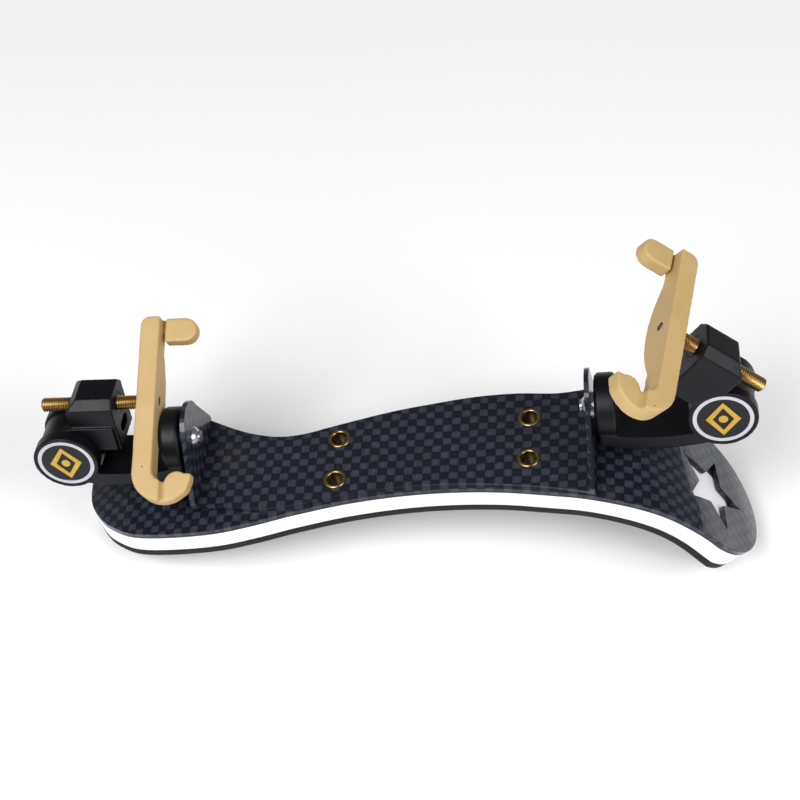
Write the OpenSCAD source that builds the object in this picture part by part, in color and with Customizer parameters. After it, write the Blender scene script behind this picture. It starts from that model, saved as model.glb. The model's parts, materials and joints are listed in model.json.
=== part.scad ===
// Violin shoulder rest, shown with its feet folded.
// The plates are laid out flat on the bridge plate's top face, which is height 0,
// and rest() then tips the whole object on to the two ends of its foam.

/* [Base plate and foam] */
// How far the base plate reaches to the left of the middle
plate_left_reach = 126; // [115:1:140]
// Thickness of the base plate
plate_t = 1.6; // [1.2:0.1:2.4]
// Radius of the gentle bend at the left end
left_bend_r = 240; // [190:5:320]
// Distance of the left bend's start from the middle
left_bend_start = 45; // [35:1:55]
// Radius of the strong bend at the right end
right_bend_r = 57; // [45:1:68]
// Distance of the right bend's start from the middle
right_bend_start = 42; // [36:1:48]
// Angle that the right end is bent down
right_bend_angle = 55; // [40:1:60]
// Angle that the right bend line is turned in plan
bend_skew = 8; // [0:1:12]
// Radius of the rounded right end
end_r = 25; // [22:0.5:30]
// Radius of the star window's points
star_r = 15.5; // [11:0.5:18]
// Radius of the star window's inner corners
star_inner_r = 6.8; // [5:0.1:9]
// Thickness of the black liner under the base plate
liner_t = 0.6; // [0.4:0.1:1]
// Radius of the liner's round window under the star
liner_window_r = 11; // [8:0.5:13]
// Thickness of the white foam
white_t = 6.8; // [5:0.1:10]
// Thickness of the black foam
black_t = 3.2; // [2:0.1:5]

/* [Bridge plate] */
// Thickness of the bridge plate and its ears
bridge_t = 1.6; // [1.2:0.1:2.2]
// Distance of the left ear's outer face from the middle
left_ear_x = 81.5; // [74:0.5:90]
// Distance of the right ear's outer face from the middle
right_ear_x = 54.5; // [48:0.5:62]
// Height of the ear pivots over the bridge plate
pivot_h = 12.5; // [11.5:0.1:16]
// Height of the ears over the bridge plate
ear_h = 25.3; // [23:0.1:28]
// Radius of an ear's rounded top
ear_r = 9.5; // [8:0.1:12]
// Width of an ear's foot in front of its pivot
ear_front = 20; // [18:0.5:24]

/* [Eyelets] */
// Spacing of the eyelets along the plate
eyelet_dx = 65.2; // [50:0.2:70]
// Spacing of the eyelets across the plate
eyelet_dy = 17.3; // [14:0.1:20]
// Hole through an eyelet
eyelet_bore = 5.2; // [4:0.1:6]
// Wall of an eyelet's barrel
eyelet_wall = 0.35; // [0.25:0.05:0.5]
// Width of an eyelet's rolled flange
eyelet_flange = 1.3; // [0.8:0.1:1.6]
// Thickness of an eyelet's rolled flange
eyelet_flange_t = 0.6; // [0.4:0.1:1]

/* [Arms] */
// Tilt of the arms about the ear pivots, front end up
arm_tilt = 8; // [0:1:12]
// Diameter of the ear pivot screw
pivot_d = 4; // [3:0.1:5]
// Diameter of the pivot screw's domed head
pivot_head_d = 7; // [6:0.1:9]
// Outer diameter of the pivot washer
washer_d = 9.4; // [8:0.1:12]
// Thickness of the pivot washer
washer_t = 1; // [0.6:0.1:1.5]
// Diameter of the arm's pivot block
block_d = 21.4; // [18:0.2:23]
// Thickness of the arm's pivot block
block_t = 7; // [7:0.5:11]
// Distance from an ear's outer face to the fold hinge
hinge_reach = 42; // [40:0.5:48]
// Width of the arm across its hinge cheeks
arm_w = 20; // [18:0.5:24]
// Thickness of the arm's curved band
band_t = 5; // [4:0.1:6]
// Diameter of the hinge cheeks
cheek_d = 22.4; // [20:0.2:24]
// Thickness of a hinge cheek
cheek_t = 4.6; // [4:0.1:5.5]
// Diameter of the fold hinge bolt
bolt_d = 5; // [4:0.1:6]
// Diameter of the badge at the hinge's front end
badge_d = 19.4; // [17:0.2:20.4]
// Width of the badge's silver ring
ring_w = 1.3; // [1:0.1:2.4]

/* [Cradles and rods] */
// Distance of the rod's axis from the hinge axis
rod_h = 14.5; // [14:0.5:18]
// Offset of the rod and its clamp box from the hinge's middle
rod_shift = 4; // [0:0.5:4]
// Diameter of the threaded rod
rod_d = 4.9; // [4.5:0.1:5.5]
// Length of the rod outside its fork
rod_l = 34.4; // [30:0.2:44]
// Length of the cradle along the rod
cradle_l = 16; // [14:0.5:20]
// Distance of the left cradle's outer face from the hinge axis
left_cradle_start = 2.8; // [2:0.1:6]
// Distance of the right cradle's outer face from the hinge axis
right_cradle_start = 7.2; // [2:0.1:8]
// Width of the cradle across the rod
cradle_w = 16; // [14:0.5:19]
// Height of the cradle over the rod's axis
cradle_top = 6.4; // [5:0.1:8]
// Height of the cradle under the rod's axis
cradle_under = 14.5; // [13:0.5:16]
// Angle of the left rod above its folded position
left_fold = -2; // [-3:1:90]
// Angle of the right rod above its folded position
right_fold = 41.5; // [-3:1:90]
// Distance from the left hinge to its fork, along the rod
left_fork_reach = 26.6; // [26:0.1:38]
// Distance from the right hinge to its fork, along the rod
right_fork_reach = 30.2; // [26:0.1:38]

/* [Forks] */
// Turn of the left fork about its rod
left_fork_turn = 31; // [15:1:40]
// Turn of the right fork about its rod
right_fork_turn = 15; // [0:1:40]
// Length of a fork over its rod
fork_top = 28.8; // [25:0.2:32]
// Length of a fork under its rod
fork_bottom = 35.5; // [33:0.5:42]
// Thickness of the fork's bar along the rod
bar_t = 6.8; // [6.6:0.1:9]
// Width of the bar on its straight side
bar_straight_side = 5.6; // [5.4:0.1:7]
// Width of the bar's ends on its bulged side
bar_end_side = 2.6; // [2.4:0.1:4]
// Extra width of the bar's middle on that side
bar_bulge = 4.8; // [3:0.1:7]
// Length of the bulge along the bar
bulge_l = 35; // [32:1:44]
// Length of the upper finger from the bar's back
finger_l = 19; // [18:0.2:24]
// Depth of the upper finger's neck along the bar
neck_h = 5.4; // [4:0.1:6.4]
// Radius of the finger heads
head_r = 4.2; // [3.5:0.1:5]
// Outer radius of the lower finger's hook
hook_r = 9.8; // [9:0.1:12]
// Thickness of the fork's steel core
core_t = 2; // [1.5:0.1:2.5]
// Width of the fork's steel core
core_w = 4; // [3:0.1:5]

/* [Hidden] */
$fn = 64;
carbon = "#23283a";
black_plastic = "#15161f";
silver = "#c9c9d2";
brass = "#a98a55";
tan_rubber = "#cfab72";

// Room between moving faces, play round a running pin, and overlap of cutting solids
gap = 0.4;
play = 0.05;
eps = 0.01;
// A size that is past the whole object in every direction
far = 400;

// Heights of the stacked layers, down from the bridge plate's top face
plate_top = bridge_t;
liner_top = plate_top + plate_t;
white_top = liner_top + liner_t;
black_top = white_top + white_t;
foam_bottom = black_top + black_t;

// Where the straight and the turned halves of the flat middle share ground
flat_overlap = right_bend_start / 2;
// How far in front of the rounded end's middle the star's middle is, and its turn
star_front = 1.2;
star_turn = -4;
// Middle of the rounded right end
bend_dx = right_bend_r * sin(right_bend_angle);
bend_dz = right_bend_r * (1 - cos(right_bend_angle));
end_run = 3.5;
end_s = right_bend_start + bend_dx + end_run * cos(right_bend_angle);
end_z = -plate_top - bend_dz - end_run * sin(right_bend_angle);
end_y = -1;
end_x = (end_s - end_y * sin(bend_skew)) / cos(bend_skew);

// Where the two ends of the foam touch the table, as [along, height]
left_r = left_bend_r - foam_bottom + plate_top;
left_run = plate_left_reach - left_bend_start;
left_foot = [-plate_left_reach, -plate_top - left_bend_r + sqrt(left_r * left_r - left_run * left_run)];
end_drop = foam_bottom - plate_top;
right_foot = [
  end_x + end_r * cos(right_bend_angle) - end_drop * sin(right_bend_angle),
  end_z - end_r * sin(right_bend_angle) - end_drop * cos(right_bend_angle)
];
rest_tilt = atan2(left_foot[1] - right_foot[1], right_foot[0] - left_foot[0]);
rest_lift = -(right_foot[0] * sin(rest_tilt) + right_foot[1] * cos(rest_tilt));
centre_shift = [-11.96, 1.48];

// Seat of an eyelet's lower roll
eyelet_seat_d = eyelet_bore + 2 * eyelet_flange;

// Places across the plate
left_pivot_y = -1;
right_pivot_y = 3.5;
// Distance of an ear's top from its pivot, towards the back
ear_shift = 1;
// Height of the square lip at an ear's two feet
ear_lip = 1.6;
// How far an ear's straight sides run inside its rounded top
ear_side_in = 0.35;
// Width of an ear's foot behind its pivot, and how much longer the right ear's front is
ear_back = 18;
ear_front_extra = 6;
left_eyelet_y = -3.8;
right_eyelet_y = 1.2;
// Front and back edges of the base plate: points that a smooth curve runs through
plate_edge = [
  [-plate_left_reach, 8], [1.2 - plate_left_reach, -5], [6.5 - plate_left_reach, -14],
  [13 - plate_left_reach, -20], [22 - plate_left_reach, -25], [-90, -28], [-74, -29],
  [-60, -27.2], [-46, -23.9], [-30, -20.5], [-12, -18.2], [6, -17.5], [24, -18.4],
  [42, -20.9], [60, -23.5], [76, -24.8], [end_x - 4, end_y - end_r], [end_x + 9, end_y - end_r],
  [end_x + 22, end_y - end_r + 3], [end_x + 22, end_y + end_r + 3], [end_x + 4, end_y + end_r + 1],
  [end_x - 6, end_y + end_r - 1], [74, 21.6], [60, 19.6], [44, 19], [28, 19.6], [12, 18.8],
  [-6, 16], [-24, 12], [-42, 7.5], [-54, 6], [-68, 9.5], [-84, 16], [-98, 20],
  [10 - plate_left_reach, 20], [3 - plate_left_reach, 16]
];
// Edges of the bridge plate between the ears, front from left to right and back again
bridge_front = [
  [-left_ear_x, left_pivot_y - ear_front], [-70, -21.4], [-56, -23], [-44, -21.8], [-30, -18.9],
  [-14, -16.9], [2, -16.4], [20, -17.2], [38, -19.4], [right_ear_x, right_pivot_y - ear_front - ear_front_extra]
];
bridge_back = [
  [right_ear_x, right_pivot_y + ear_back], [42, 20], [28, 20.9], [14, 20.4], [0, 18.5],
  [-16, 15.6], [-34, 11], [-46, 7.8], [-56, 7.4], [-68, 10.6], [-left_ear_x, left_pivot_y + ear_back]
];

// Parts of the arm and its hinge
block_start = washer_t + gap / 2;
block_chamfer = 1;
cheek_r = cheek_d / 2;
knuckle_w = arm_w - 2 * cheek_t - 2 * gap / 2;
band_drop = 11.6;
band_r = 78;
band_under = 2;
knuckle_inset = 0.8;
nut_inset = 0.2;
knuckle_r = cheek_r - knuckle_inset;
nut_pocket_d = 9;
nut_pocket_l = 3.6;
pivot_head_t = 2.2;
pivot_nut_d = 8;
pivot_nut_l = 3;
hinge_nut_d = 9;
hinge_nut_l = 2.6;
badge_t = 1.2;
badge_recess = 1.4;
bolt_head_d = 8.6;
bolt_head_t = 1.8;
badge_step = 0.2;
emblem_t = 0.3;
emblem_w = 5.6;
emblem_h = 7;
emblem_line = 2.2;
emblem_dot_r = 1.5;
emblem_colour = "#cdae4b";
// Parts of the cradle, the rod and the fork
insert_d = 7.2;
insert_l = 7;
side_chamfer = 3;
end_chamfer = 3.4;
web_in = 1;
window_depth = 2;
window_drop = 9;
window_run = 1.6;
window_d = 4;
rod_chamfer = 0.6;
rod_hole_play = 0.4;
cradle_floor = rod_h - cradle_under;
rod_socket = 4.5;
core_boss_d = 8.2;
core_boss_t = 5.6;
core_l = 44;
neck_over = 0.6;
head_over = 2.6;
hook_wall = 5.4;
hook_head_in = 0.8;
hook_head_drop = 3.4;
head_l = 11.2;
hook_y = hook_r - fork_bottom;
bar_corner_r = 3.2;
peep_d = 2.6;

// A Catmull-Rom point between b and c, at t from 0 to 1
function blend_point(a, b, c, d, t) =
  0.5 * (2 * b + (c - a) * t + (2 * a - 5 * b + 4 * c - d) * t * t
    + (3 * b - a - 3 * c + d) * t * t * t);
// A closed smooth curve through a list of points
function closed_curve(p, steps) = [
  for (i = [0 : len(p) - 1], k = [0 : steps - 1])
    let (n = len(p))
    blend_point(p[(i + n - 1) % n], p[i], p[(i + 1) % n], p[(i + 2) % n], k / steps)
];
// An open smooth curve through a list of points
function open_curve(p, steps) = concat([
  for (i = [0 : len(p) - 2], k = [0 : steps - 1])
    blend_point(p[max(i - 1, 0)], p[i], p[i + 1], p[min(i + 2, len(p) - 1)], k / steps)
], [p[len(p) - 1]]);
// Corners of a star with its points at radius a and its inner corners at radius b
function star(a, b) = [
  for (i = [0 : 9]) (i % 2 == 0 ? a : b) * [cos(36 * i), sin(36 * i)]
];

// Corners of a lozenge with half width a and half height b
function lozenge(a, b) = [[a, 0], [0, b], [-a, 0], [0, -b]];

// Tips the object on to its foam, with the base's middle over the origin
module rest() {
  translate([-centre_shift[0], -centre_shift[1], rest_lift])
    rotate([0, -rest_tilt, 0]) children();
}
// Frame of the bent right end: X down the slope, Z square to the plate
module end_frame() {
  translate([end_x, end_y, end_z]) rotate([0, 0, bend_skew])
    rotate([0, right_bend_angle, 0]) children();
}
// Frame of an ear pivot: X outward from the ear's outer face
module pivot_frame(left) {
  rest() {
    if (left) translate([-left_ear_x, left_pivot_y, pivot_h]) mirror([1, 0, 0]) children();
    else translate([right_ear_x, right_pivot_y, pivot_h]) children();
  }
}
// Frame of an arm, tilted about its ear pivot
module arm_frame(left) {
  pivot_frame(left) rotate([-arm_tilt, 0, 0]) children();
}
// Frame of a fold hinge: X outward, Y back along the hinge
module hinge_frame(left) {
  arm_frame(left) translate([hinge_reach, 0, 0]) children();
}
// Frame of a cradle: X along the rod towards the fork, Z from the hinge to the rod
module cradle_frame(left) {
  hinge_frame(left) mirror([1, 0, 0])
    rotate([0, -(left ? left_fold : right_fold), 0]) children();
}
// Frame of a rod, with the fork's back at 0
module rod_frame(left) {
  cradle_frame(left)
    translate([left ? left_fork_reach : right_fork_reach, left ? rod_shift : -rod_shift, rod_h])
      children();
}
// Frame of a fork: X along the rod, Y along the bar, Z to the lips
module fork_frame(left) {
  rod_frame(left) rotate([left ? left_fork_turn : right_fork_turn, 0, 0]) children();
}
module along_x(l, d) {
  rotate([0, 90, 0]) cylinder(h = l, d = d);
}
module along_y(l, d) {
  rotate([-90, 0, 0]) cylinder(h = l, d = d);
}

// One layer of the bent sandwich, between two depths under the plate's top face
module bent_layer(from, to) {
  depth = to - from;
  // flat middle
  translate([-left_bend_start, -far / 2, -plate_top - to])
    cube([left_bend_start + flat_overlap, far, depth]);
  // gentle bend at the left
  intersection() {
    translate([-left_bend_start, -far / 2, -plate_top - left_bend_r]) rotate([-90, 0, 0])
      difference() {
        cylinder(h = far, r = left_bend_r - from, $fn = 256);
        translate([0, 0, -1]) cylinder(h = far + 2, r = left_bend_r - to, $fn = 256);
      }
    translate([-far - left_bend_start, -far, -left_bend_r / 2]) cube([far + eps, 2 * far, left_bend_r]);
  }
  // strong bend at the right, turned in plan
  rotate([0, 0, bend_skew]) {
    translate([flat_overlap / 2, -end_r * 2, -plate_top - to])
      cube([right_bend_start - flat_overlap / 2 + eps, 4 * end_r, depth]);
    translate([right_bend_start, -far / 2, -plate_top - right_bend_r]) {
      intersection() {
        rotate([-90, 0, 0]) difference() {
          cylinder(h = far, r = right_bend_r - from, $fn = 256);
          translate([0, 0, -1]) cylinder(h = far + 2, r = right_bend_r - to, $fn = 256);
        }
        rotate([90, 0, 0]) translate([0, 0, -far]) linear_extrude(far)
          polygon([[0, 0], [0, far], [far * sin(right_bend_angle), far],
            far * [sin(right_bend_angle), cos(right_bend_angle)]]);
      }
      rotate([0, right_bend_angle, 0])
        translate([-eps, 0, right_bend_r - to]) cube([3 * end_r, far, depth]);
    }
  }
}
// What the plate and the foam are cut to: the outline, and the rounded right end
module plate_cut() {
  intersection() {
    translate([0, 0, -far / 2]) linear_extrude(far) polygon(closed_curve(plate_edge, 4));
    end_frame() union() {
      translate([-far, -far / 2, -far / 2]) cube([far, far, far]);
      translate([0, 0, -far / 4]) cylinder(h = far / 2, r = end_r);
    }
  }
}
module plate_layer(from, to) {
  intersection() {
    bent_layer(from - plate_top, to - plate_top);
    plate_cut();
  }
}
module at_eyelets() {
  for (sx = [-1, 1], sy = [-1, 1])
    translate([sx * eyelet_dx / 2, (sx < 0 ? left_eyelet_y : right_eyelet_y) + sy * eyelet_dy / 2, 0])
      children();
}
module eyelet_holes(d) {
  at_eyelets() translate([0, 0, -black_top + eps]) cylinder(h = 2 * black_top, d = d);
}

module base_plate() {
  color(carbon) rest() difference() {
    plate_layer(plate_top, liner_top);
    end_frame() translate([0, -star_front, -2 * plate_t]) rotate([0, 0, star_turn])
      linear_extrude(4 * plate_t) polygon(star(star_r, star_inner_r));
    eyelet_holes(eyelet_bore + 2 * eyelet_wall);
    // seats for the eyelets' lower rolls, which the liner covers
    at_eyelets() translate([0, 0, -white_top]) cylinder(h = white_top - liner_top + eyelet_flange_t, d = eyelet_seat_d);
  }
}
module foam_liner() {
  color("#101116") rest() difference() {
    plate_layer(liner_top, white_top);
    end_frame() translate([0, -star_front, -white_top]) cylinder(h = 2 * white_top, r = liner_window_r);
  }
}
module white_foam() {
  color("#f3eef3") rest() plate_layer(white_top, black_top);
}
module black_foam() {
  color("#141418") rest() plate_layer(black_top, foam_bottom);
}

// Where a line from p touches the circle round c, on its side 1 or -1
function touch_point(c, r, p, side) =
  let (turn = atan2(p[1] - c[1], p[0] - c[0]) + side * acos(r / norm(p - c)))
  c + r * [cos(turn), sin(turn)];
// An ear seen from outside, with its pivot at 0: X across, Y up
module ear_outline(front) {
  top = [ear_shift, ear_h - ear_r - pivot_h];
  side_r = ear_r - ear_side_in;
  foot_front = [-front, ear_lip - pivot_h];
  foot_back = [ear_back, ear_lip - pivot_h];
  translate(top) circle(r = ear_r, $fn = 128);
  polygon([[-front, -pivot_h], [ear_back, -pivot_h], foot_back, touch_point(top, side_r, foot_back, 1), top,
    touch_point(top, side_r, foot_front, -1), foot_front]);
}
module ear(x, y, front, dir) {
  translate([x, y, pivot_h]) mirror([dir < 0 ? 0 : 1, 0, 0]) rotate([90, 0, 90])
    linear_extrude(bridge_t) difference() {
      ear_outline(front);
      circle(d = pivot_d + 2 * play);
    }
}
module bridge_plate() {
  color(carbon) rest() {
    difference() {
      translate([0, 0, -bridge_t]) linear_extrude(bridge_t)
        polygon(concat(open_curve(bridge_front, 4), open_curve(bridge_back, 4)));
      eyelet_holes(eyelet_bore + 2 * eyelet_wall);
    }
    ear(-left_ear_x, left_pivot_y, ear_front, -1);
    ear(right_ear_x, right_pivot_y, ear_front + ear_front_extra, 1);
  }
}
module eyelets() {
  flange_d = eyelet_bore + 2 * eyelet_flange;
  color(brass) rest() at_eyelets() difference() {
    union() {
      translate([0, 0, -liner_top])
        cylinder(h = liner_top + eyelet_flange_t, d = eyelet_bore + 2 * eyelet_wall);
      cylinder(h = eyelet_flange_t, d1 = flange_d, d2 = flange_d - 2 * gap);
      translate([0, 0, -liner_top]) cylinder(h = eyelet_flange_t - play, d = eyelet_seat_d - 2 * play);
    }
    translate([0, 0, -far / 2]) cylinder(h = far, d = eyelet_bore);
  }
}

// The pivot screw: domed head inside the ear, shank out through the arm to its nut
module pivot_screw(left) {
  head_t = pivot_head_t;
  dome_r = (pivot_head_d * pivot_head_d / 4 + head_t * head_t) / (2 * head_t);
  color(silver) pivot_frame(left) {
    translate([-bridge_t - head_t, 0, 0]) along_x(bridge_t + head_t + block_start + block_t - gap, pivot_d);
    translate([-bridge_t, 0, 0]) intersection() {
      translate([dome_r - head_t, 0, 0]) sphere(r = dome_r);
      translate([-head_t, 0, 0]) along_x(head_t, pivot_head_d);
    }
  }
}
module pivot_washer(left) {
  color(silver) pivot_frame(left) difference() {
    along_x(washer_t, washer_d);
    translate([-1, 0, 0]) along_x(washer_t + 2, pivot_d);
  }
}
module pivot_nut(left) {
  color(silver) pivot_frame(left) translate([block_start + block_t - nut_pocket_l + nut_inset, 0, 0])
    difference() {
      rotate([0, 90, 0]) cylinder(h = pivot_nut_l, d = pivot_nut_d, $fn = 6);
      translate([-1, 0, 0]) along_x(pivot_nut_l + 2, pivot_d);
    }
}
// Side profile of the arm's band and cheek webs: X outward, Y up, pivot axis at 0
module band_profile() {
  intersection() {
    difference() {
      translate([hinge_reach / 2, band_r - band_drop]) circle(r = band_r, $fn = 256);
      translate([hinge_reach / 2, band_r - band_drop]) circle(r = band_r - band_t, $fn = 256);
    }
    translate([block_start + block_chamfer, -far / 4])
      square([hinge_reach - block_start - block_chamfer, far / 4 - band_under]);
  }
}
module arm(left) {
  color(black_plastic) arm_frame(left) difference() {
    union() {
      // round block at the ear, with a chamfered rim
      translate([block_start + block_chamfer, 0, 0]) along_x(block_t - 2 * block_chamfer, block_d);
      translate([block_start, 0, 0]) rotate([0, 90, 0])
        cylinder(h = block_chamfer, d1 = block_d - 2 * block_chamfer, d2 = block_d);
      translate([block_start + block_t - block_chamfer, 0, 0]) rotate([0, 90, 0])
        cylinder(h = block_chamfer, d1 = block_d, d2 = block_d - 2 * block_chamfer);
      // curved band
      translate([0, arm_w / 2, 0]) rotate([90, 0, 0]) linear_extrude(arm_w) difference() {
        band_profile();
        translate([hinge_reach, 0]) circle(r = cheek_r + gap);
      }
      // two round cheeks and the webs that carry them
      for (y = [-arm_w / 2, arm_w / 2 - cheek_t]) translate([0, y, 0]) {
        translate([hinge_reach, 0, 0]) along_y(cheek_t, cheek_d);
        translate([0, cheek_t, 0]) rotate([90, 0, 0]) linear_extrude(cheek_t) band_profile();
      }
    }
    // bore and nut pocket for the pivot screw
    translate([-1, 0, 0]) along_x(block_t + 4, pivot_d + 2 * play);
    translate([block_start + block_t - nut_pocket_l, 0, 0]) along_x(nut_pocket_l + 1, nut_pocket_d);
    // hinge bore, badge recess, bolt head seat and nut pocket
    translate([hinge_reach, -arm_w / 2 - 1, 0]) {
      along_y(arm_w + 2, bolt_d);
      along_y(1 + badge_recess, badge_d + gap / 2);
      along_y(1 + badge_recess + bolt_head_t, bolt_head_d);
    }
    translate([hinge_reach, arm_w / 2 - hinge_nut_l - nut_inset, 0])
      along_y(hinge_nut_l + 1, hinge_nut_d + 2 * gap);
  }
}
module hinge_bolt(left) {
  head_y = badge_recess - arm_w / 2;
  color(silver) hinge_frame(left) translate([0, head_y, 0]) {
    along_y(arm_w - badge_recess - gap, bolt_d);
    along_y(bolt_head_t, bolt_head_d);
  }
}
module hinge_nut(left) {
  color(silver) hinge_frame(left) translate([0, arm_w / 2 - hinge_nut_l - nut_inset, 0]) difference() {
    rotate([-90, 0, 0]) cylinder(h = hinge_nut_l, d = hinge_nut_d, $fn = 6);
    translate([0, -1, 0]) along_y(hinge_nut_l + 2, bolt_d);
  }
}
module badge_frame(left) {
  hinge_frame(left) translate([0, badge_recess - arm_w / 2, 0]) children();
}
module badge_ring(left) {
  color(silver) badge_frame(left) translate([0, -badge_t, 0]) difference() {
    along_y(badge_t, badge_d);
    translate([0, -1, 0]) along_y(badge_t + 2, badge_d - 2 * ring_w);
  }
}
module badge_disc(left) {
  color(black_plastic) badge_frame(left) translate([0, badge_step - badge_t, 0])
    along_y(badge_t - badge_step, badge_d - 2 * ring_w);
}
// A plain raised lozenge with a dot in its middle
module badge_emblem(left) {
  color(emblem_colour) badge_frame(left) translate([0, badge_step - badge_t, 0])
    rotate([90, 0, 0]) linear_extrude(emblem_t) {
      difference() {
        polygon(lozenge(emblem_w, emblem_h));
        polygon(lozenge(emblem_w - emblem_line, emblem_h - emblem_line));
      }
      circle(r = emblem_dot_r);
    }
}

// Outline of the clamp box from the side: X along the rod, Y from the hinge to the rod
module cradle_side(start) {
  top = rod_h + cradle_top;
  reach = start + cradle_l;
  difference() {
    polygon([[start, cradle_floor], [reach, cradle_floor], [reach, top],
      [start + end_chamfer, top], [start, top - end_chamfer]]);
    circle(r = cheek_r + gap);
  }
}
// Outline of the clamp box seen along the rod: X across, Y from the hinge to the rod
module cradle_front() {
  top = rod_h + cradle_top;
  half = cradle_w / 2;
  polygon([[-half, cradle_floor], [half, cradle_floor], [half, top - side_chamfer],
    [half - side_chamfer, top], [side_chamfer - half, top], [-half, top - side_chamfer]]);
}
module cradle(left) {
  shift = left ? rod_shift : -rod_shift;
  start = left ? left_cradle_start : right_cradle_start;
  reach = start + cradle_l;
  color(black_plastic) cradle_frame(left) difference() {
    union() {
      // clamp box, kept clear of the round cheeks
      translate([0, shift, 0]) intersection() {
        translate([0, cradle_w / 2, 0]) rotate([90, 0, 0]) linear_extrude(cradle_w) cradle_side(start);
        rotate([90, 0, 90]) linear_extrude(2 * reach) cradle_front();
      }
      // knuckle between the cheeks, and its web to the box
      translate([0, -knuckle_w / 2, 0]) along_y(knuckle_w, 2 * knuckle_r);
      translate([0, knuckle_w / 2, 0]) rotate([90, 0, 0]) linear_extrude(knuckle_w)
        polygon([[0, 0], [0, knuckle_r], [start + web_in, rod_h - insert_d / 2],
          [reach - web_in, rod_h - insert_d / 2], [reach - web_in, cradle_floor + web_in],
          [knuckle_r - web_in, cradle_floor + web_in]]);
    }
    translate([0, -cradle_w, 0]) along_y(2 * cradle_w, bolt_d + 2 * play);
    // rod bore and the seat of the threaded insert
    translate([0, shift, rod_h]) {
      along_x(2 * far, rod_d + 2 * rod_hole_play);
      translate([reach - insert_l, 0, 0]) along_x(insert_l + 1, insert_d);
    }
    // oval window under the rod in the inner face
    translate([reach - window_depth, shift, rod_h - window_drop]) {
      for (y = [-window_run, window_run]) translate([0, y, 0]) along_x(2 * window_depth, window_d);
      translate([0, -window_run, -window_d / 2]) cube([2 * window_depth, 2 * window_run, window_d]);
    }
  }
}
module threaded_insert(left) {
  shift = left ? rod_shift : -rod_shift;
  start = left ? left_cradle_start : right_cradle_start;
  color(brass) cradle_frame(left)
    translate([start + cradle_l - insert_l, shift, rod_h]) difference() {
      along_x(insert_l, insert_d);
      translate([-1, 0, 0]) along_x(insert_l + 2, rod_d + 2 * play);
    }
}
module rod(left) {
  color(brass) rod_frame(left) {
    translate([rod_chamfer - rod_l, 0, 0]) along_x(rod_l - rod_chamfer + rod_socket, rod_d);
    translate([-rod_l, 0, 0]) rotate([0, 90, 0])
      cylinder(h = rod_chamfer, d1 = rod_d - 2 * rod_chamfer, d2 = rod_d);
  }
}
// Steel strip inside the fork, with a round boss on the rod's end
module core_shape() {
  translate([bar_t / 2 - core_t / 2, -core_l / 2, -core_w / 2]) cube([core_t, core_l, core_w]);
  translate([bar_t / 2 - core_boss_t / 2, 0, 0]) along_x(core_boss_t, core_boss_d);
}
module fork_core(left) {
  color("#8f9096") fork_frame(left) difference() {
    core_shape();
    translate([-eps, 0, 0]) along_x(eps + rod_socket, rod_d + 2 * play);
  }
}
// Outline of the bar seen along the rod: X along the bar, Y across it
module bar_outline() {
  half = bulge_l / 2;
  bulge_r = (half * half + bar_bulge * bar_bulge) / (2 * bar_bulge);
  translate([hook_r - fork_bottom, -bar_end_side])
    square([fork_top + fork_bottom - hook_r, bar_end_side + bar_straight_side]);
  intersection() {
    translate([-half, -bar_end_side - bar_bulge]) square([bulge_l, 2 * bar_bulge]);
    translate([0, bulge_r - bar_end_side - bar_bulge]) circle(r = bulge_r, $fn = 256);
  }
}
// Profile of the hook: X along the rod, Y along the bar
module hook_profile() {
  difference() {
    translate([hook_r, hook_y]) circle(r = hook_r, $fn = 128);
    translate([-far, hook_y]) square(2 * far);
    translate([hook_r + hook_wall / 4, hook_y + hook_wall / 4]) circle(r = hook_r - hook_wall);
  }
}
module fork_body() {
  difference() {
    rotate([90, 0, 90]) linear_extrude(bar_t) bar_outline();
    // rounded upper corner of the bar's back
    translate([bar_corner_r, fork_top - bar_corner_r, 0]) difference() {
      translate([-2 * bar_corner_r, 0, -far / 2]) cube([2 * bar_corner_r, 2 * bar_corner_r, far]);
      translate([0, 0, -far]) cylinder(h = 2 * far, r = bar_corner_r);
    }
  }
  // upper finger: a thin neck with a square outer corner, and a half-round head
  translate([0, fork_top - neck_h, -bar_end_side])
    cube([finger_l - head_r, neck_h, bar_end_side + neck_over]);
  translate([finger_l - head_r, fork_top - head_r, -bar_end_side])
    cylinder(h = bar_end_side + head_over, r = head_r);
  translate([finger_l - head_l, fork_top - 2 * head_r, -bar_end_side])
    cube([head_l - head_r, 2 * head_r, bar_end_side + head_over]);
  // lower finger: a hook with a round outside, and a round head
  translate([0, 0, -bar_end_side]) {
    linear_extrude(bar_end_side + head_over) hook_profile();
    linear_extrude(bar_end_side + bar_straight_side) intersection() {
      hook_profile();
      translate([0, -far]) square([hook_r, 2 * far]);
    }
  }
  translate([2 * hook_r - head_r - hook_head_in, hook_y - hook_head_drop, -bar_end_side])
    cylinder(h = bar_end_side + head_over, r = head_r);
}
module fork_rubber(left) {
  color(tan_rubber) fork_frame(left) difference() {
    fork_body();
    core_shape();
    translate([-eps, 0, 0]) along_x(rod_socket + eps, rod_d + 2 * play);
    // peep hole in front of the rod's end
    along_x(bar_t + eps, peep_d);
  }
}

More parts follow.
